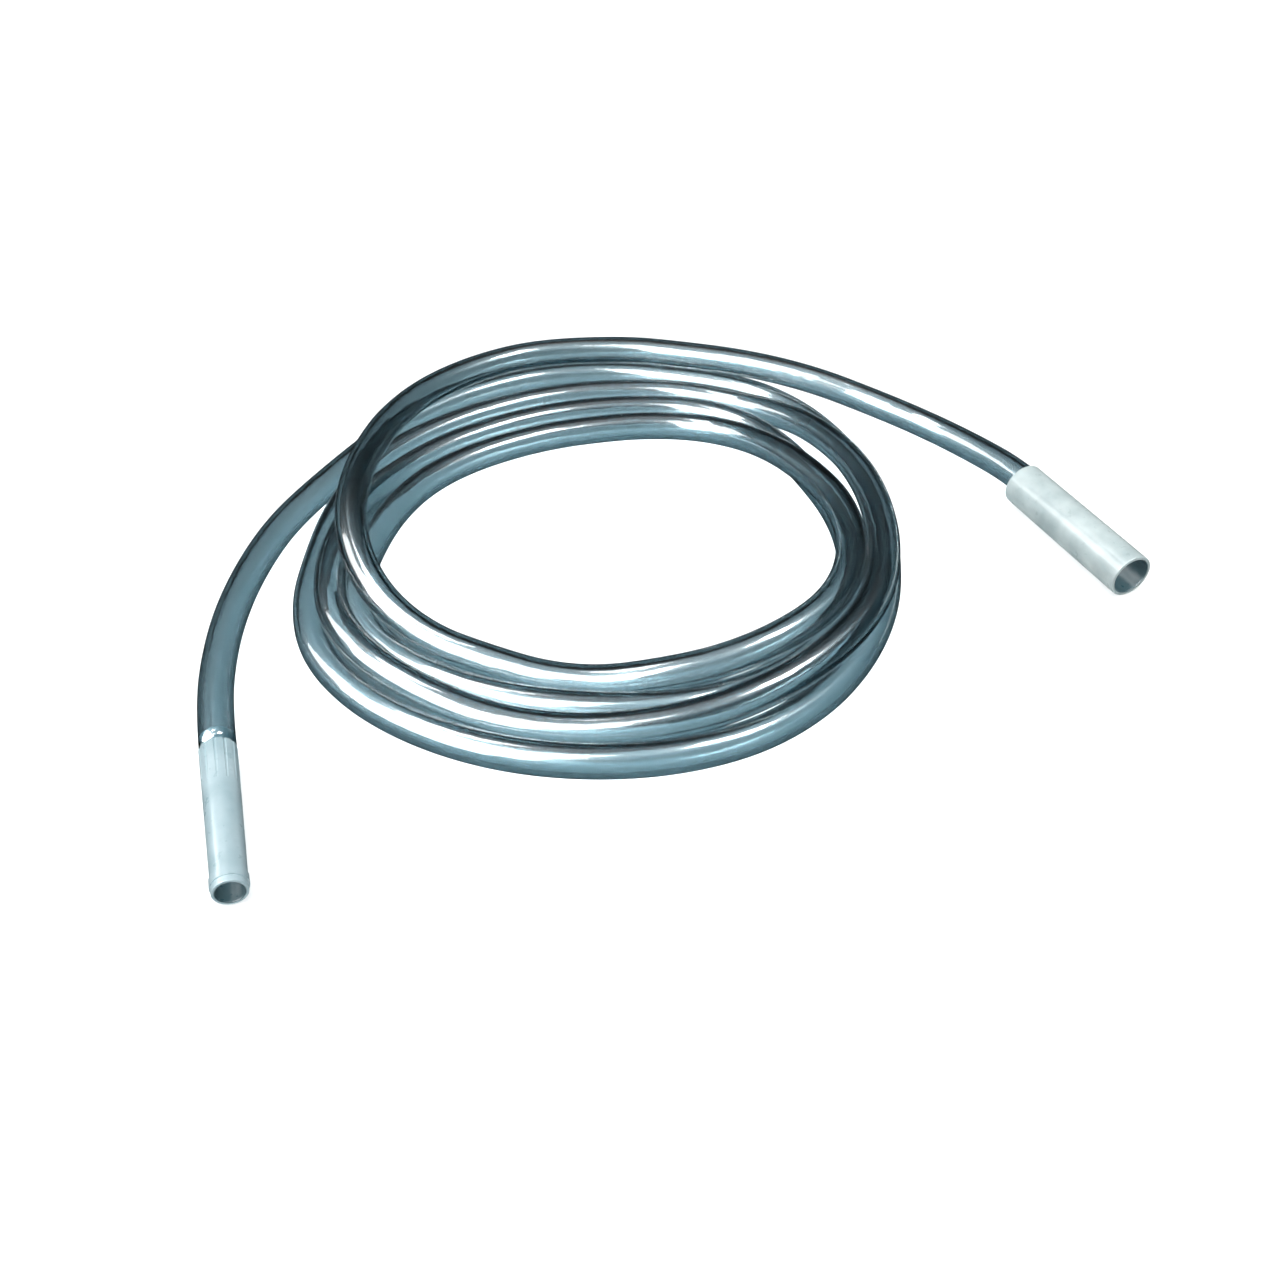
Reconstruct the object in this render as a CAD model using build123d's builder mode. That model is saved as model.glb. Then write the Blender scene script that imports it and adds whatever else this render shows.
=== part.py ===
"""Clear flexible transfer hose, loosely coiled flat, with a moulded connector on each end.

Millimetres, +Z up. The hose lies on the plane z = 0, and the origin is on that plane,
under the middle of the whole object. +X runs from the small connector's side to the
large connector's side, and +Y runs from the connectors' mouths towards the coil's back.
"""
from build123d import *
import os
from math import cos, sin, tan, pi, radians

os.makedirs("parts", exist_ok=True)

# ------------------------------------------------------------------ driving dimensions

HOSE_OD = 9.5
HOSE_R = HOSE_OD / 2

# The coil's centre on the floor.
COIL_X = -26.62
COIL_Y = 12.46

# The coil's outer shape, every 30 degrees anticlockwise from +X. The turns fan out flat at
# the front (270) and pile up two deep at the sides (0 and 180), where they are drawn
# together. The large end crosses over them at the back and upper left (90 to 180).
COIL_INNER = [69.2, 66.8, 69.0, 61.1, 59.7, 61.9, 64.9, 65.9, 59.8, 59.0, 63.7, 71.4]
COIL_OUTER = [93.3, 102.7, 110.2, 110.8, 108.8, 102.3, 91.2, 98.2, 98.3, 98.1, 98.6, 95.3]
COIL_HEIGHT = [18.9, 17.7, 11.9, 19.1, 19.8, 23.3, 24.6, 19.8, 13.9, 11.8, 16.7, 18.9]
COIL_EDGE_ROUND = 4.4
SECTIONS_PER_HALF = 12

# Large connector: a stepped sleeve with an open socket, lying on the floor.
LARGE_R = 6.9
LARGE_LENGTH = 53.6
LARGE_REAR = (137.1 + COIL_X, 29.7 + COIL_Y, LARGE_R)
LARGE_HEADING = -66.6
LARGE_SOCKET_R = 5.7
LARGE_SOCKET_DEPTH = 27.0
LARGE_WATERWAY_R = 3.175
LARGE_SEAT_DEPTH = 12.0
LARGE_SEAT_SIDE = 0.9
LARGE_SEAT_UP = 1.0
LARGE_LIP_ROUND = 0.45
LARGE_REAR_ROUND = 0.6

# Small connector: a slim tapering sleeve, barely wider than the hose that butts on it.
SMALL_REAR_R = 4.85
SMALL_MOUTH_R = 4.3
SMALL_LENGTH = 47.6
SMALL_REAR = (-96.7 + COIL_X, -89.4 + COIL_Y, SMALL_REAR_R)
SMALL_HEADING = -72.8
SMALL_SOCKET_R = 3.4
SMALL_SOCKET_DEPTH = 19.0
SMALL_WATERWAY_R = 2.3
SMALL_SPIGOT_R = 3.175
SMALL_SPIGOT_LENGTH = 5.0
SMALL_BEAD_R = 4.6
SMALL_BEAD_LENGTH = 2.4
SMALL_BEAD_BACK = 4.2
SMALL_LIP_ROUND = 0.25
FLUTE_COUNT = 12
FLUTE_LENGTH = 14.0
FLUTE_R = 0.45
FLUTE_DEPTH = 0.28


# ---------------------------------------------------------------------- small helpers

def heading(degrees):
    """The level unit vector that points this many degrees anticlockwise from +X."""
    return Vector(cos(radians(degrees)), sin(radians(degrees)), 0)


def around(values, degrees):
    """A smooth closed curve through equally spaced values, read at an angle."""
    step = 360 / len(values)
    place = (degrees % 360) / step
    first = int(place)
    t = place - first
    a, b, c, d = (values[(first + k - 1) % len(values)] for k in range(4))
    return 0.5 * (2 * b + (c - a) * t + (2 * a - 5 * b + 4 * c - d) * t**2 + (3 * b - a - 3 * c + d) * t**3)


def bend_radii(points):
    """The largest arc for each corner: 0.45 of its shorter run over tan(half the turn)."""
    radii = []
    for before, corner, after in zip(points, points[1:], points[2:]):
        run_in = Vector(*corner) - Vector(*before)
        run_out = Vector(*after) - Vector(*corner)
        turn = radians(run_in.get_angle(run_out))
        radii.append(0.45 * min(run_in.length, run_out.length) / tan(turn / 2))
    return radii


def placed(points):
    """Points measured from the coil's centre, moved into the part's frame."""
    return [(x + COIL_X, y + COIL_Y, z) for x, y, z in points]


def report_hose(name, route, path, solid):
    """Print a stretch's length, its bend radii, and its volume over section times length."""
    length = sum(edge.length for edge in path.edges())
    ratio = solid.volume / (pi * HOSE_R**2 * length)
    print(f"{name}: length {length:.1f}, volume over section times length {ratio:.4f}")
    print("  bend radii", [round(radius, 1) for radius in bend_radii(route)])


# --------------------------------------------------------------------------- the coil

def coil_section(degrees):
    """The plane, width and height of the coil's outer shape at an angle."""
    inner = around(COIL_INNER, degrees)
    outer = around(COIL_OUTER, degrees)
    height = around(COIL_HEIGHT, degrees)
    outward = heading(degrees)
    middle = Vector(COIL_X, COIL_Y, height / 2) + outward * (inner + outer) / 2
    plane = Plane(origin=middle, x_dir=outward, z_dir=heading(degrees + 90))
    return plane, outer - inner, height


with BuildPart() as hose_coil:
    for half in range(2):
        for step in range(SECTIONS_PER_HALF + 1):
            plane, width, height = coil_section(180 * (half + step / SECTIONS_PER_HALF))
            with BuildSketch(plane):
                RectangleRounded(width, height, COIL_EDGE_ROUND)
        loft()

hose_coil.part.label = "hose_coil"
export_step(hose_coil.part, "parts/hose_coil.step")


# ------------------------------------------------------------- the large end's stretch
# From the seat in the large connector, sagging to the floor, up on to the coil's back.

seat_side = heading(LARGE_HEADING + 90) * LARGE_SEAT_SIDE
seat_axis = Vector(*LARGE_REAR) + seat_side + Vector(0, 0, LARGE_SEAT_UP)
seat_end = seat_axis + heading(LARGE_HEADING) * LARGE_SEAT_DEPTH
seat_exit = seat_axis - heading(LARGE_HEADING) * HOSE_R

LARGE_END_ROUTE = [
    tuple(seat_end),
    tuple(seat_exit),
    *placed(
        [
            (125.9, 51.3, 6.4),
            (112.6, 68.4, 5.3),
            (95.1, 80.4, 7.4),
            (73.8, 88.8, 12.0),
            (50.6, 96.0, 14.4),
            (27.4, 102.3, 14.4),
            (6.3, 106.5, 14.4),
        ]
    ),
]

with BuildPart() as hose_large_end:
    with BuildLine() as large_path:
        FilletPolyline(*LARGE_END_ROUTE, radius=bend_radii(LARGE_END_ROUTE))
    with BuildSketch(Plane(origin=large_path.line @ 0, z_dir=large_path.line % 0)):
        Circle(HOSE_R)
    sweep()

hose_large_end.part.label = "hose_large_end"
export_step(hose_large_end.part, "parts/hose_large_end.step")


# ------------------------------------------------------------- the small end's stretch
# From the butt joint with the small connector, along the floor, into the coil's side.

SMALL_END_ROUTE = [
    SMALL_REAR,
    *placed(
        [
            (-101.9, -73.0, HOSE_R),
            (-105.6, -52.8, HOSE_R),
            (-106.9, -31.9, HOSE_R),
            (-105.3, -10.8, HOSE_R),
            (-101.3, 9.1, HOSE_R),
            (-93.7, 27.8, HOSE_R),
            (-81.4, 44.9, HOSE_R),
        ]
    ),
]

with BuildPart() as hose_small_end:
    with BuildLine() as small_path:
        FilletPolyline(*SMALL_END_ROUTE, radius=bend_radii(SMALL_END_ROUTE))
    with BuildSketch(Plane(origin=small_path.line @ 0, z_dir=small_path.line % 0)):
        Circle(HOSE_R)
    sweep()

hose_small_end.part.label = "hose_small_end"
export_step(hose_small_end.part, "parts/hose_small_end.step")

report_hose("hose_large_end", LARGE_END_ROUTE, large_path.line, hose_large_end.part)
report_hose("hose_small_end", SMALL_END_ROUTE, small_path.line, hose_small_end.part)


# ----------------------------------------------------------------- the large connector

large_base = Plane(origin=LARGE_REAR, x_dir=heading(LARGE_HEADING + 90), z_dir=heading(LARGE_HEADING))
large_axis = Axis(LARGE_REAR, heading(LARGE_HEADING))

with BuildPart() as large_connector:
    with BuildSketch(large_base):
        Circle(LARGE_R)
    extrude(amount=LARGE_LENGTH)
    with BuildSketch(large_base.offset(LARGE_LENGTH - LARGE_SOCKET_DEPTH)):
        Circle(LARGE_SOCKET_R)
    extrude(amount=LARGE_SOCKET_DEPTH, mode=Mode.SUBTRACT)
    with BuildSketch(large_base):
        Circle(LARGE_WATERWAY_R)
    extrude(amount=LARGE_LENGTH, mode=Mode.SUBTRACT)
    ends = large_connector.faces().filter_by(GeomType.PLANE).sort_by(large_axis)
    fillet(ends[-1].edges(), LARGE_LIP_ROUND)
    fillet(ends[0].edges().sort_by(SortBy.RADIUS)[-1], LARGE_REAR_ROUND)
    with BuildSketch(Plane(origin=seat_axis, z_dir=heading(LARGE_HEADING))):
        Circle(HOSE_R)
    extrude(amount=LARGE_SEAT_DEPTH, mode=Mode.SUBTRACT)

large_connector.part.label = "large_connector"
export_step(large_connector.part, "parts/large_connector.step")


# ----------------------------------------------------------------- the small connector

small_base = Plane(origin=SMALL_REAR, x_dir=heading(SMALL_HEADING + 90), z_dir=heading(SMALL_HEADING))
small_axis = Axis(SMALL_REAR, heading(SMALL_HEADING))

with BuildPart() as small_connector:
    with BuildSketch(small_base):
        Circle(SMALL_REAR_R)
    with BuildSketch(small_base.offset(SMALL_LENGTH)):
        Circle(SMALL_MOUTH_R)
    loft()
    with BuildSketch(small_base.offset(SMALL_LENGTH - SMALL_BEAD_BACK)):
        Circle(SMALL_BEAD_R)
    extrude(amount=SMALL_BEAD_LENGTH)
    with BuildSketch(small_base):
        Circle(SMALL_SPIGOT_R)
    extrude(amount=-SMALL_SPIGOT_LENGTH)
    with BuildSketch(small_base.offset(SMALL_LENGTH - SMALL_SOCKET_DEPTH)):
        Circle(SMALL_SOCKET_R)
    extrude(amount=SMALL_SOCKET_DEPTH, mode=Mode.SUBTRACT)
    with BuildSketch(small_base.offset(-SMALL_SPIGOT_LENGTH)):
        Circle(SMALL_WATERWAY_R)
    extrude(amount=SMALL_SPIGOT_LENGTH + SMALL_LENGTH, mode=Mode.SUBTRACT)
    ends = small_connector.faces().filter_by(GeomType.PLANE).sort_by(small_axis)
    fillet(ends[-1].edges(), SMALL_LIP_ROUND)
    with BuildSketch(small_base):
        with PolarLocations(SMALL_REAR_R + FLUTE_R - FLUTE_DEPTH, FLUTE_COUNT):
            Circle(FLUTE_R)
    extrude(amount=FLUTE_LENGTH, mode=Mode.SUBTRACT)

small_connector.part.label = "small_connector"
export_step(small_connector.part, "parts/small_connector.step")
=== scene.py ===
"""Looks for a coiled clear transfer hose with a moulded connector on each end.

Everything is in metres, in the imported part's own frame: the hose lies on z = 0.
"""

import bpy
import numpy as np
from math import cos, sin, pi, radians, sqrt, exp, floor
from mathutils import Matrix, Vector


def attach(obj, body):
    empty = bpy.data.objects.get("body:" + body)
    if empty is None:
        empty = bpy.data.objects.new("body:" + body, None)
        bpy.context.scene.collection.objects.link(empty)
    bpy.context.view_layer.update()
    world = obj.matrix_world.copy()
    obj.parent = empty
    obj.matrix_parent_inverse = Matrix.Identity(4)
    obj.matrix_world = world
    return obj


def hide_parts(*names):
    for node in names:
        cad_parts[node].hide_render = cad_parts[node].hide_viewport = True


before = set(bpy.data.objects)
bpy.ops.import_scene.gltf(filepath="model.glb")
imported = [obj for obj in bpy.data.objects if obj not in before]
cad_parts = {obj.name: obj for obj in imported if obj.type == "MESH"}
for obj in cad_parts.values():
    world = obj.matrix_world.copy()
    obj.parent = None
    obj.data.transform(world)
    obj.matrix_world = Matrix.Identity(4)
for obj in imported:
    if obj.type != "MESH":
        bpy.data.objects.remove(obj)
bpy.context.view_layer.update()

# ------------------------------------------------------------------ driving dimensions

HOSE_D = 0.0095
HOSE_R = HOSE_D / 2
BORE_R = 0.003175
COIL_X, COIL_Y = -0.02662, 0.01246

LARGE_REAR = Vector((0.1371 + COIL_X, 0.0297 + COIL_Y, 0.0069))
LARGE_HEADING = -66.6
LARGE_SEAT_DEPTH = 0.012
LARGE_SEAT_SIDE = 0.0009
LARGE_SEAT_UP = 0.0010
LARGE_SOCKET_R = 0.0057
SMALL_REAR = Vector((-0.0967 + COIL_X, -0.0894 + COIL_Y, 0.00485))
SMALL_HEADING = -72.8
SMALL_SOCKET_R = 0.0034

HOSE_SIDES = 40
CURVE_STEPS = 8


# ------------------------------------------------------------------------- the camera

CAMERA_RIGHT_OF_COIL = 0.01203
CAMERA_IN_FRONT_OF_COIL = 0.31967
CAMERA_HEIGHT = 0.2428
CAMERA_PITCH_DOWN = 41.0

# The sensor's width and the focal length, in millimetres.
CAMERA_SENSOR = 36.0
CAMERA_LENS = 36.0

camera_data = bpy.data.cameras.new("photo_camera")
camera_data.sensor_width = CAMERA_SENSOR
camera_data.lens = CAMERA_LENS
camera = bpy.data.objects.new("photo_camera", camera_data)
camera.location = (COIL_X + CAMERA_RIGHT_OF_COIL, COIL_Y - CAMERA_IN_FRONT_OF_COIL, CAMERA_HEIGHT)
camera.rotation_euler = (radians(90 - CAMERA_PITCH_DOWN), 0, 0)
bpy.context.scene.collection.objects.link(camera)
bpy.context.scene.camera = camera


# ------------------------------------------------------------------- the hose's route

def heading(degrees):
    """The level unit vector that points this many degrees anticlockwise from +X."""
    return Vector((cos(radians(degrees)), sin(radians(degrees)), 0))


def around(values, degrees):
    """A smooth closed curve through equally spaced values, read at an angle."""
    step = 360 / len(values)
    place = (degrees % 360) / step
    first = int(place)
    t = place - first
    a, b, c, d = (values[(first + k - 1) % len(values)] for k in range(4))
    square = 2 * a - 5 * b + 4 * c - d
    cube = 3 * b - a - 3 * c + d
    return 0.5 * (2 * b + (c - a) * t + square * t**2 + cube * t**3)


def placed(points):
    """Points measured from the coil's centre, moved into the part's frame."""
    return [Vector((x + COIL_X, y + COIL_Y, z)) for x, y, z in points]


def on_coil(degrees, radius, height):
    """A point at an angle and a distance from the coil's centre."""
    place = heading(degrees) * radius
    return Vector((place.x + COIL_X, place.y + COIL_Y, height))


# The large end: out of its connector, sagging to the floor, up on to the coil's back.
seat_side = heading(LARGE_HEADING + 90) * LARGE_SEAT_SIDE
seat_axis = LARGE_REAR + seat_side + Vector((0, 0, LARGE_SEAT_UP))
LARGE_END = [
    seat_axis + heading(LARGE_HEADING) * LARGE_SEAT_DEPTH,
    seat_axis - heading(LARGE_HEADING) * HOSE_R,
    *placed(
        [
            (0.1259, 0.0513, 0.0064),
            (0.1126, 0.0684, 0.0053),
            (0.0951, 0.0804, 0.0074),
            (0.0738, 0.0888, 0.0120),
            (0.0506, 0.0960, 0.0144),
            (0.0274, 0.1023, 0.0144),
            (0.0063, 0.1065, 0.0144),
        ]
    ),
]

# Over the outer turns at the upper left, then down inside them: angle, radius, height.
CROSSING = [
    (104, 0.1076, 0.0144),
    (117, 0.1038, 0.0148),
    (130, 0.0978, 0.0156),
    (143, 0.0900, 0.0166),
    (155, 0.0832, 0.0174),
    (166, 0.0790, 0.0176),
    (176, 0.0768, 0.0170),
    (187, 0.0756, 0.0154),
    (199, 0.0746, 0.0128),
    (213, 0.0726, 0.0096),
    (228, 0.0696, 0.0072),
]

# The turns, every 30 degrees from +X: the first turn's radius, how much further out each
# turn lies, and how far a turn that rides on its neighbour leans outward.
TURN_INNER = [
    0.0712, 0.0660, 0.0718, 0.0610, 0.0581, 0.0615,
    0.0654, 0.0704, 0.0668, 0.0648, 0.0706, 0.0740,
]
TURN_SPREAD = [
    0.0051, 0.0090, 0.0103, 0.0124, 0.0118, 0.0104,
    0.0078, 0.0086, 0.0093, 0.0096, 0.0078, 0.0051,
]
TURN_LEAN = [0.0034, 0.0029, 0, 0, 0, 0, 0, 0, 0, 0, 0.0003, 0.0033]

# The turns' control points, in degrees along the winding: the first, the limit for the
# last, and the step between them.
TURN_FIRST = 243
TURN_LAST = 1515
TURN_STEP = 14
FIRST_TURN_ANGLE = 270
LAYER_CHANGE_ANGLE = 90

# Loose places where one turn strays: angle along the winding, distance outward, width.
STRAYS = [
    (565, 0.0016, 30),
    (935, 0.0010, 25),
    (955, 0.0015, 20),
    (1275, -0.0016, 25),
]

# The last turn's end, outermost at the back, flat on the floor: angle, radius.
OUTERMOST = [
    (84, 0.1060),
    (97, 0.1058),
    (109, 0.1046),
    (121, 0.1024),
    (133, 0.0999),
    (144, 0.0978),
]

# The small end: along the floor and into its connector.
SMALL_END = [
    *placed(
        [
            (-0.0937, 0.0278, HOSE_R),
            (-0.1013, 0.0091, HOSE_R),
            (-0.1053, -0.0108, HOSE_R),
            (-0.1069, -0.0319, HOSE_R),
            (-0.1056, -0.0528, HOSE_R),
            (-0.1019, -0.0730, HOSE_R),
        ]
    ),
    SMALL_REAR,
]


def turn_points():
    """The four turns, spiralling outward. Every second one rides up on its neighbour
    wherever the two lie closer together than a hose's width."""
    points = []
    angle = TURN_FIRST
    while angle <= TURN_LAST:
        turns = (angle - FIRST_TURN_ANGLE) / 360
        spread = around(TURN_SPREAD, angle)
        radius = around(TURN_INNER, angle) + spread * turns
        height = HOSE_R
        for centre, outward, width in STRAYS:
            radius += outward * exp(-(((angle - centre) / width) ** 2))
        if floor((angle - LAYER_CHANGE_ANGLE) / 360) % 2 == 0:
            lean = max(0.0, around(TURN_LEAN, angle))
            radius += lean
            side_step = min(spread - lean, HOSE_D)
            height += sqrt(max(0.0, HOSE_D**2 - side_step**2))
        points.append(on_coil(angle, radius, height))
        angle += TURN_STEP
    return points


# How the loose turns settle. The drop in each step and the gap kept are in metres. The
# sideways share of a push, the hold on earlier sideways moves and the stiffness are from 0
# to 1. Stretches within the neighbour samples of each other are never pushed apart.
SETTLE_STEPS = 300
SETTLE_DROP = 0.00002
SETTLE_SIDEWAYS = 0.3
SETTLE_HOLD = 0.99
SETTLE_STIFFNESS = 0.3
SETTLE_GAP = 0.00005
NEIGHBOUR_SAMPLES = 6
EASED_POINTS = 4
TINY_DISTANCE = 1e-9


def settled(points, first, last):
    """The route with its free points, from first to last, pushed off each other where two
    stretches of hose overlap, and let down until they rest on the floor or on the hose."""
    start = np.array([tuple(p) for p in points])
    moved = np.zeros_like(start)
    count = len(start)
    free = np.zeros(count)
    free[first:last] = 1
    for i in range(EASED_POINTS):
        share = (i + 1) / (EASED_POINTS + 1)
        free[first + i] = min(free[first + i], share)
        free[last - 1 - i] = min(free[last - 1 - i], share)
    free = free[:, None]
    reach = HOSE_D + SETTLE_GAP
    index = np.arange(2 * count - 1)
    apart = np.abs(index[:, None] - index[None, :-1]) > NEIGHBOUR_SAMPLES
    for _ in range(SETTLE_STEPS):
        route = start + moved
        # The quadratic spline, read beside each control point and at each joint.
        line = np.empty((2 * count - 1, 3))
        line[0::2] = route
        line[2:-1:2] = (route[:-2] + 6 * route[1:-1] + route[2:]) / 8
        line[1::2] = (route[:-1] + route[1:]) / 2
        begin = line[:-1]
        leg = line[1:] - begin
        gap = line[:, None, :] - begin[None]
        share = np.clip((gap * leg[None]).sum(2) / (leg**2).sum(1)[None], 0, 1)
        gap = gap - share[..., None] * leg[None]
        distance = np.linalg.norm(gap, axis=2)
        touching = (distance < reach) & apart
        strength = np.where(touching, (reach - distance) / np.maximum(distance, TINY_DISTANCE), 0)
        push = (strength[..., None] * gap).sum(1) / 2
        push[:, :2] *= SETTLE_SIDEWAYS
        change = push[0::2].copy()
        change[:-1] += push[1::2] / 2
        change[1:] += push[1::2] / 2
        change /= 2
        change[:, 2] -= SETTLE_DROP
        moved += change * free
        moved[:, :2] *= SETTLE_HOLD
        smooth = moved.copy()
        smooth[1:-1] = (moved[:-2] + 2 * moved[1:-1] + moved[2:]) / 4
        moved += SETTLE_STIFFNESS * (smooth - moved) * free
        moved[:, 2] = np.maximum(moved[:, 2], HOSE_R - start[:, 2])
    return [Vector(p) for p in start + moved]


def hose_route():
    """The control points of the whole hose, from the large connector to the small one."""
    points = list(LARGE_END)
    first_free = len(points)
    points += [on_coil(*place) for place in CROSSING]
    points += turn_points()
    points += [on_coil(angle, radius, HOSE_R) for angle, radius in OUTERMOST]
    last_free = len(points) + 1
    points += SMALL_END
    return settled(points, first_free, last_free)


def route_line(points):
    """The points along one smooth NURBS spline that has the route as its control points."""
    curve = bpy.data.curves.new("hose_route", "CURVE")
    curve.dimensions = "3D"
    curve.resolution_u = CURVE_STEPS
    spline = curve.splines.new("NURBS")
    spline.points.add(len(points) - 1)
    for control, place in zip(spline.points, points):
        control.co = (*place, 1.0)
    spline.order_u = 3
    spline.use_endpoint_u = True
    holder = bpy.data.objects.new("hose_route", curve)
    mesh = bpy.data.meshes.new_from_object(holder)
    line = [vertex.co.copy() for vertex in mesh.vertices]
    bpy.data.meshes.remove(mesh)
    bpy.data.objects.remove(holder)
    bpy.data.curves.remove(curve)
    return line


def ring_frames(line):
    """Two directions square to the line at each of its points, without needless twist."""
    frames = []
    side = None
    for i in range(len(line)):
        before = line[max(i - 1, 0)]
        after = line[min(i + 1, len(line) - 1)]
        along = (after - before).normalized()
        if side is None:
            side = along.cross(Vector((0, 0, 1))).normalized()
        side = (side - along * side.dot(along)).normalized()
        frames.append((side, side.cross(along)))
    return frames


def tube_mesh(name, line, outer, inner):
    """A closed hollow tube along a line: the outer wall, the bore, and a ring at each end."""
    frames = ring_frames(line)
    vertices = []
    distance = 0.0
    along = []
    for i, point in enumerate(line):
        if i:
            distance += (point - line[i - 1]).length
        along.append(distance)
    for radius in (outer, inner):
        for point, (side, up) in zip(line, frames):
            for k in range(HOSE_SIDES):
                turn = 2 * pi * k / HOSE_SIDES
                vertices.append(point + (side * cos(turn) + up * sin(turn)) * radius)
    rings = len(line)
    faces = []
    places = []
    for wall in range(2):
        base = wall * rings * HOSE_SIDES
        for i in range(rings - 1):
            for k in range(HOSE_SIDES):
                near = base + i * HOSE_SIDES + k
                near_next = base + i * HOSE_SIDES + (k + 1) % HOSE_SIDES
                far, far_next = near + HOSE_SIDES, near_next + HOSE_SIDES
                u, u_next = k / HOSE_SIDES, (k + 1) / HOSE_SIDES
                v, v_next = along[i], along[i + 1]
                corners = [
                    (near, u, v),
                    (near_next, u_next, v),
                    (far_next, u_next, v_next),
                    (far, u, v_next),
                ]
                if wall == 0:
                    corners.reverse()
                faces.append([c[0] for c in corners])
                places += [(c[1], c[2]) for c in corners]
    inner_base = rings * HOSE_SIDES
    for ring, flip in ((0, False), (rings - 1, True)):
        for k in range(HOSE_SIDES):
            k_next = (k + 1) % HOSE_SIDES
            start = ring * HOSE_SIDES
            face = [start + k, start + k_next, inner_base + start + k_next, inner_base + start + k]
            if flip:
                face.reverse()
            faces.append(face)
            places += [(k / HOSE_SIDES, along[ring])] * 4
    mesh = bpy.data.meshes.new(name)
    mesh.from_pydata([tuple(v) for v in vertices], [], faces)
    layer = mesh.uv_layers.new(name="around_and_along")
    layer.data.foreach_set("uv", np.array(places, np.float32).ravel())
    mesh.update()
    return mesh


# ------------------------------------------------------------------------- materials

NOISE_LOW, NOISE_HIGH = 0.3, 0.7


def new_material(name):
    """A material with its Principled shader, and the node tree to add detail to."""
    material = bpy.data.materials.new(name)
    material.use_nodes = True
    tree = material.node_tree
    return material, tree, tree.nodes["Principled BSDF"]


def noise(tree, vector, scale, detail=4.0):
    """A noise texture read at a vector socket; returns its value socket."""
    node = tree.nodes.new("ShaderNodeTexNoise")
    node.inputs["Scale"].default_value = scale
    node.inputs["Detail"].default_value = detail
    tree.links.new(vector, node.inputs["Vector"])
    return node.outputs["Fac"]


def remap(tree, value, low, high):
    """A noise value, from the range where most of them lie, spread from low to high."""
    node = tree.nodes.new("ShaderNodeMapRange")
    node.inputs["From Min"].default_value = NOISE_LOW
    node.inputs["From Max"].default_value = NOISE_HIGH
    node.inputs["To Min"].default_value = low
    node.inputs["To Max"].default_value = high
    tree.links.new(value, node.inputs["Value"])
    return node.outputs["Result"]


def scaled(tree, vector, scale):
    """A vector stretched by three factors."""
    node = tree.nodes.new("ShaderNodeMapping")
    node.inputs["Scale"].default_value = scale
    tree.links.new(vector, node.inputs["Vector"])
    return node.outputs["Vector"]


def bump(tree, height, strength, distance, below=None):
    """A bump node, on top of another one if it is given; returns its normal socket."""
    node = tree.nodes.new("ShaderNodeBump")
    node.inputs["Strength"].default_value = strength
    node.inputs["Distance"].default_value = distance
    tree.links.new(height, node.inputs["Height"])
    if below is not None:
        tree.links.new(below, node.inputs["Normal"])
    return node.outputs["Normal"]


def mixed(tree, factor, first, second):
    """A colour between two, by a factor socket."""
    node = tree.nodes.new("ShaderNodeMix")
    node.data_type = "RGBA"
    tree.links.new(factor, node.inputs["Factor"])
    node.inputs["A"].default_value = (*first, 1)
    node.inputs["B"].default_value = (*second, 1)
    return node.outputs["Result"]


VINYL_IOR = 1.53
VINYL_COAT_ROUGHNESS = 0.2
VINYL_TINTS = ((0.90, 0.96, 0.97), (0.96, 0.99, 1.0))
VINYL_ROUGHNESS = (0.03, 0.075)
VINYL_DEPTH_COLOUR = (0.28, 0.42, 0.465, 1)
VINYL_DEPTH_DENSITY = 900.0

# Noise scales are per metre, but the draw lines' one is on the stretched UV map, which
# runs around and along the hose. Each bump has a strength and a height in metres.
TINT_SCALE = 60
GLOSS_SCALE = 240
WAVE_SCALE, WAVE_BUMP = 90, (0.25, 0.0008)
DRAW_LINE_STRETCH = (6, 30, 1)
DRAW_LINE_SCALE, DRAW_LINE_BUMP = 3, (0.12, 0.0004)


def vinyl_material():
    """Clear flexible vinyl: a cool tint in its thickness, and a faintly wavy glossy skin."""
    material, tree, shader = new_material("clear_vinyl_tubing")
    shader.inputs["Transmission Weight"].default_value = 1.0
    shader.inputs["IOR"].default_value = VINYL_IOR
    shader.inputs["Coat Weight"].default_value = 1.0
    shader.inputs["Coat Roughness"].default_value = VINYL_COAT_ROUGHNESS
    coordinates = tree.nodes.new("ShaderNodeTexCoord")
    place = coordinates.outputs["Object"]
    tube_place = scaled(tree, coordinates.outputs["UV"], DRAW_LINE_STRETCH)
    tint = remap(tree, noise(tree, place, TINT_SCALE), 0, 1)
    tree.links.new(mixed(tree, tint, *VINYL_TINTS), shader.inputs["Base Color"])
    gloss = remap(tree, noise(tree, place, GLOSS_SCALE), *VINYL_ROUGHNESS)
    tree.links.new(gloss, shader.inputs["Roughness"])
    waves = bump(tree, noise(tree, place, WAVE_SCALE, 2), *WAVE_BUMP)
    lines = bump(tree, noise(tree, tube_place, DRAW_LINE_SCALE, 3), *DRAW_LINE_BUMP, waves)
    tree.links.new(lines, shader.inputs["Normal"])
    volume = tree.nodes.new("ShaderNodeVolumeAbsorption")
    volume.inputs["Color"].default_value = VINYL_DEPTH_COLOUR
    volume.inputs["Density"].default_value = VINYL_DEPTH_DENSITY
    tree.links.new(volume.outputs["Volume"], tree.nodes["Material Output"].inputs["Volume"])
    return material


def vector_math(tree, operation, first, second=None):
    """A vector maths node on a socket and, if it needs one, a fixed vector."""
    node = tree.nodes.new("ShaderNodeVectorMath")
    node.operation = operation
    tree.links.new(first, node.inputs[0])
    if second is not None:
        node.inputs[1].default_value = second
    return node


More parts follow.
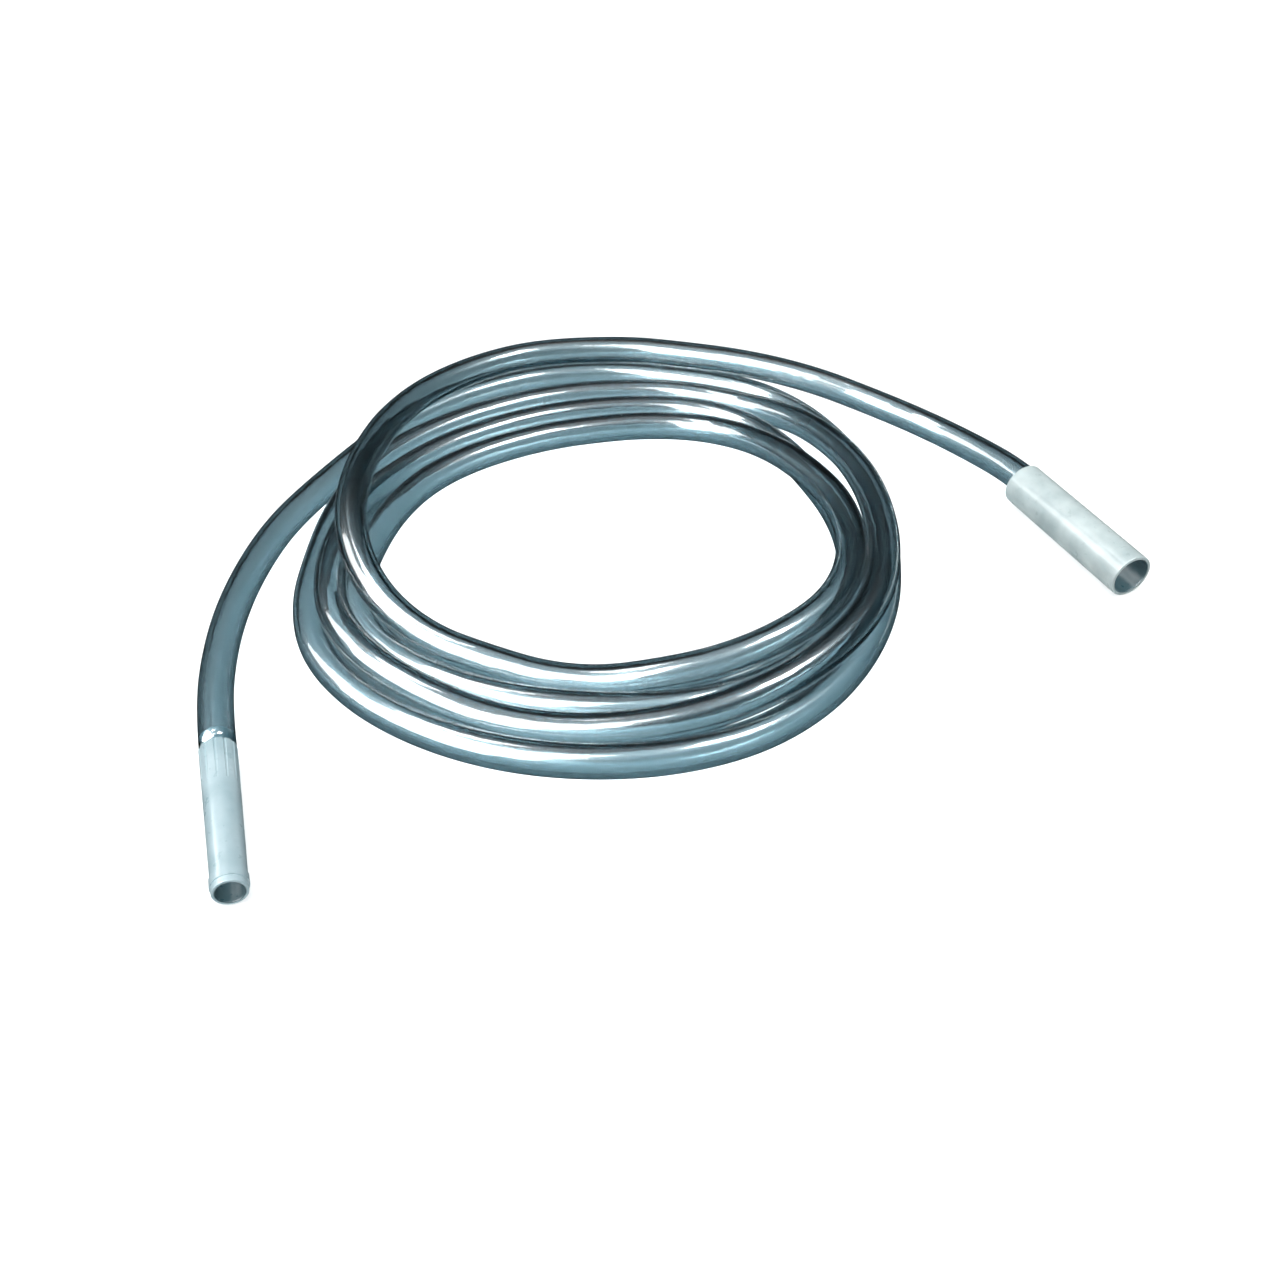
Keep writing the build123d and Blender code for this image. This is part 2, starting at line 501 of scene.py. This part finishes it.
def axis_measures(tree, place, origin, direction):
    """How far each place is from an axis, and how far along it, from a point on it."""
    offset = vector_math(tree, "SUBTRACT", place, origin).outputs["Vector"]
    across = vector_math(tree, "CROSS_PRODUCT", offset, direction).outputs["Vector"]
    away = vector_math(tree, "LENGTH", across).outputs["Value"]
    along = vector_math(tree, "DOT_PRODUCT", offset, direction).outputs["Value"]
    return away, along


def ramp(tree, value, start, end):
    """0 where a value is at start, 1 where it is at end."""
    node = tree.nodes.new("ShaderNodeMapRange")
    node.inputs["From Min"].default_value = start
    node.inputs["From Max"].default_value = end
    tree.links.new(value, node.inputs["Value"])
    return node.outputs["Result"]


# Noise scales are per metre. Each bump has a strength and a height in metres. The painted
# shade inside the socket fades out over the socket edge, in metres beyond the socket's
# radius, and over the rear edge, in metres on both sides of the rear face.
MOTTLE_SCALE = 110
SATIN_SCALE, SATIN_ROUGHNESS = 420, (0.26, 0.4)
GRAIN_SCALE, GRAIN_BUMP = 700, (0.12, 0.0003)
SWELL_SCALE, SWELL_BUMP = 120, (0.2, 0.0005)
# The colour of the painted shade inside the socket and waterway.
SOCKET_PAINTED_SHADE_COLOUR = (0.036, 0.08, 0.095, 1)
SOCKET_EDGE = (0.0001, 0.0004)
REAR_EDGE = 0.0005
MILKY_WEIGHT = 0.35
MILKY_RADIUS = (1.0, 1.15, 1.2)
MILKY_DEPTH = 0.0015
PLASTIC_IOR = 1.5
PLASTIC_COAT = 0.25


def connector_material(name, first, second, rear, degrees, bore):
    """Translucent milky moulded plastic, mottled, with a satin skin, and painted shade: a
    dark colour inside its socket and waterway, ahead of its rear face."""
    material, tree, shader = new_material(name)
    coordinates = tree.nodes.new("ShaderNodeTexCoord")
    place = coordinates.outputs["Object"]
    mottle = remap(tree, noise(tree, place, MOTTLE_SCALE, 3), 0, 1)
    skin = mixed(tree, mottle, first, second)
    away, along = axis_measures(tree, place, rear, heading(degrees))
    outside = ramp(tree, away, bore + SOCKET_EDGE[0], bore + SOCKET_EDGE[1])
    behind = ramp(tree, along, REAR_EDGE, -REAR_EDGE)
    either = tree.nodes.new("ShaderNodeMath")
    either.operation = "MAXIMUM"
    tree.links.new(outside, either.inputs[0])
    tree.links.new(behind, either.inputs[1])
    # Painted shade: within the socket's radius and ahead of the rear face, the colour is dark,
    # standing in for the shade that falls in the bore.
    socket_painted_shade = tree.nodes.new("ShaderNodeMix")
    socket_painted_shade.data_type = "RGBA"
    tree.links.new(either.outputs["Value"], socket_painted_shade.inputs["Factor"])
    socket_painted_shade.inputs["A"].default_value = SOCKET_PAINTED_SHADE_COLOUR
    tree.links.new(skin, socket_painted_shade.inputs["B"])
    tree.links.new(socket_painted_shade.outputs["Result"], shader.inputs["Base Color"])
    satin = remap(tree, noise(tree, place, SATIN_SCALE), *SATIN_ROUGHNESS)
    tree.links.new(satin, shader.inputs["Roughness"])
    shader.inputs["Subsurface Weight"].default_value = MILKY_WEIGHT
    shader.inputs["Subsurface Radius"].default_value = MILKY_RADIUS
    shader.inputs["Subsurface Scale"].default_value = MILKY_DEPTH
    shader.inputs["IOR"].default_value = PLASTIC_IOR
    shader.inputs["Coat Weight"].default_value = PLASTIC_COAT
    grain = bump(tree, noise(tree, place, GRAIN_SCALE, 4), *GRAIN_BUMP)
    soft = bump(tree, noise(tree, place, SWELL_SCALE, 2), *SWELL_BUMP, grain)
    tree.links.new(soft, shader.inputs["Normal"])
    return material


# -------------------------------------------------------------------------- the hose

line = route_line(hose_route())
hose_mesh = tube_mesh("hose", line, HOSE_R, BORE_R)
hose_mesh.materials.append(vinyl_material())
hose_mesh.shade_smooth()
hose = bpy.data.objects.new("hose", hose_mesh)
bpy.context.scene.collection.objects.link(hose)
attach(hose, "root")
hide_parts("hose_coil", "hose_large_end", "hose_small_end")


# -------------------------------------------------------------------- the connectors

LARGE_COLOURS = ((0.34, 0.42, 0.43), (0.52, 0.60, 0.60))
SMALL_COLOURS = ((0.31, 0.43, 0.47), (0.42, 0.54, 0.58))

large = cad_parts["large_connector"]
large.data.materials.clear()
large_plastic = connector_material(
    "large_connector_plastic", *LARGE_COLOURS, LARGE_REAR, LARGE_HEADING, LARGE_SOCKET_R
)
large.data.materials.append(large_plastic)

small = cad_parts["small_connector"]
small.data.materials.clear()
small_plastic = connector_material(
    "small_connector_plastic", *SMALL_COLOURS, SMALL_REAR, SMALL_HEADING, SMALL_SOCKET_R
)
small.data.materials.append(small_plastic)


# ---------------------------------------------------------------- floor and the light

FLOOR_HALF = 4.0
FLOOR_COLOUR = (0.82, 0.82, 0.82, 1)
FLOOR_ROUGHNESS = 0.9
FLOOR_SPECULAR = 0.1


def floor_material():
    """A plain matt white floor."""
    material, _, shader = new_material("white_floor")
    shader.inputs["Base Color"].default_value = FLOOR_COLOUR
    shader.inputs["Roughness"].default_value = FLOOR_ROUGHNESS
    shader.inputs["Specular IOR Level"].default_value = FLOOR_SPECULAR
    return material


floor_corners = [
    (-FLOOR_HALF, -FLOOR_HALF, 0),
    (FLOOR_HALF, -FLOOR_HALF, 0),
    (FLOOR_HALF, FLOOR_HALF, 0),
    (-FLOOR_HALF, FLOOR_HALF, 0),
]
floor_mesh = bpy.data.meshes.new("floor")
floor_mesh.from_pydata(floor_corners, [], [(0, 1, 2, 3)])
floor_mesh.materials.append(floor_material())
ground = bpy.data.objects.new("floor", floor_mesh)
bpy.context.scene.collection.objects.link(ground)
ground.visible_glossy = False


def softbox(name, place, width, height, power):
    """A rectangular area light that faces the origin."""
    light = bpy.data.lights.new(name, "AREA")
    light.shape = "RECTANGLE"
    light.size = width
    light.size_y = height
    light.energy = power
    lamp = bpy.data.objects.new(name, light)
    lamp.location = place
    lamp.rotation_euler = (-Vector(place)).to_track_quat("-Z", "Y").to_euler()
    bpy.context.scene.collection.objects.link(lamp)
    return lamp


# Each softbox: its name, place, width, height and power in watts. The top one gives the
# soft shadows, and the even fill lifts them. The highlight ones cast no shadow and light no
# matt surface. They make the highlights, above all the long ones on the hose.
TOP_SOFTBOX = ("top_softbox", (0.0, 0.1, 1.8), 1.8, 1.8, 7.0)
HIGHLIGHTS = [
    ("right_softbox", (0.36, 0.0, 1.0), 0.32, 0.32, 10.0),
    ("left_softbox", (-0.38, 0.28, 1.0), 0.30, 0.30, 5.0),
    ("front_left_softbox", (-0.75, -0.43, 0.76), 1.2, 1.2, 58.0),
    ("front_softbox", (-0.36, -0.65, 0.92), 0.30, 1.3, 16.0),
    ("far_left_softbox", (-0.95, 0.08, 0.64), 0.7, 0.6, 11.0),
]
FILL_STRENGTH = 3.9
FILL_ANGLE = 60
FILL_TILT = (radians(8), radians(-8), 0)

softbox(*TOP_SOFTBOX)
fill_light = bpy.data.lights.new("fill", "SUN")
fill_light.energy = FILL_STRENGTH
fill_light.angle = radians(FILL_ANGLE)
fill_light.use_shadow = False
fill = bpy.data.objects.new("fill", fill_light)
fill.rotation_euler = FILL_TILT
fill.visible_glossy = False
bpy.context.scene.collection.objects.link(fill)
for name, place, width, height, power in HIGHLIGHTS:
    highlight = softbox(name, place, width, height, power)
    highlight.data.use_shadow = False
    highlight.visible_diffuse = False


# The ceiling brightens as the upward part of a direction goes from the first to the second.
CEILING_FROM, CEILING_TO = 0.5, 0.95
ROOM_STRENGTH, CEILING_STRENGTH = 0.012, 0.35
BACKDROP_STRENGTH = 1.1
ROOM_COLOUR = (0.95, 0.98, 1.0, 1)


def studio_world():
    """A dark room with a brighter ceiling. Seen straight by the camera, it is white."""
    world = bpy.data.worlds.new("studio")
    world.use_nodes = True
    tree = world.node_tree
    background = tree.nodes["Background"]
    coordinates = tree.nodes.new("ShaderNodeTexCoord")
    height = tree.nodes.new("ShaderNodeSeparateXYZ")
    tree.links.new(coordinates.outputs["Generated"], height.inputs["Vector"])
    ceiling = tree.nodes.new("ShaderNodeMapRange")
    ceiling.inputs["From Min"].default_value = CEILING_FROM
    ceiling.inputs["From Max"].default_value = CEILING_TO
    ceiling.inputs["To Min"].default_value = ROOM_STRENGTH
    ceiling.inputs["To Max"].default_value = CEILING_STRENGTH
    tree.links.new(height.outputs["Z"], ceiling.inputs["Value"])
    backdrop = tree.nodes.new("ShaderNodeMix")
    path = tree.nodes.new("ShaderNodeLightPath")
    tree.links.new(path.outputs["Is Camera Ray"], backdrop.inputs["Factor"])
    tree.links.new(ceiling.outputs["Result"], backdrop.inputs["A"])
    backdrop.inputs["B"].default_value = BACKDROP_STRENGTH
    tree.links.new(backdrop.outputs["Result"], background.inputs["Strength"])
    background.inputs["Color"].default_value = ROOM_COLOUR
    return world


bpy.context.scene.world = studio_world()
bpy.context.scene.view_settings.view_transform = "Standard"
